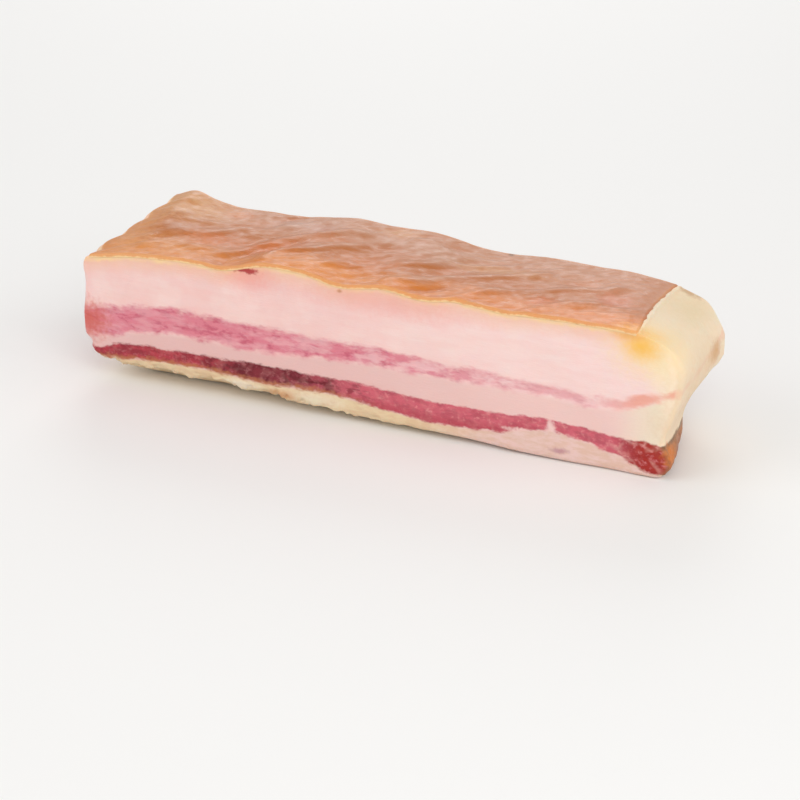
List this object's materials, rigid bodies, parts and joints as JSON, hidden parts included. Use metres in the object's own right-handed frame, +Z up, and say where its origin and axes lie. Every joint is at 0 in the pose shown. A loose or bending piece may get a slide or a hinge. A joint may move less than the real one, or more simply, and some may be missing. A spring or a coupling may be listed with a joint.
{
  "type": "cured pork belly slab",
  "caption": "Slab of cured pork belly with rind on top, a thick fat cap and two streaks of lean along the cut sides, lying on its flat underside.",
  "frame": {"origin": "middle of the underside, on the surface the slab lies on", "axes": "+X along the slab towards the bare fat shoulder, +Y from the front cut to the back cut, +Z up through the rind"},
  "size_m": [0.2206, 0.055, 0.0554],
  "materials": {
    "meat": "moist cured meat: tan rind with soft folds, pinkish white fat, pink and dark red lean, waxy yellow end"
  },
  "bodies": {
    "root": {"pork_belly": "meat"}
  },
  "joints": []
}
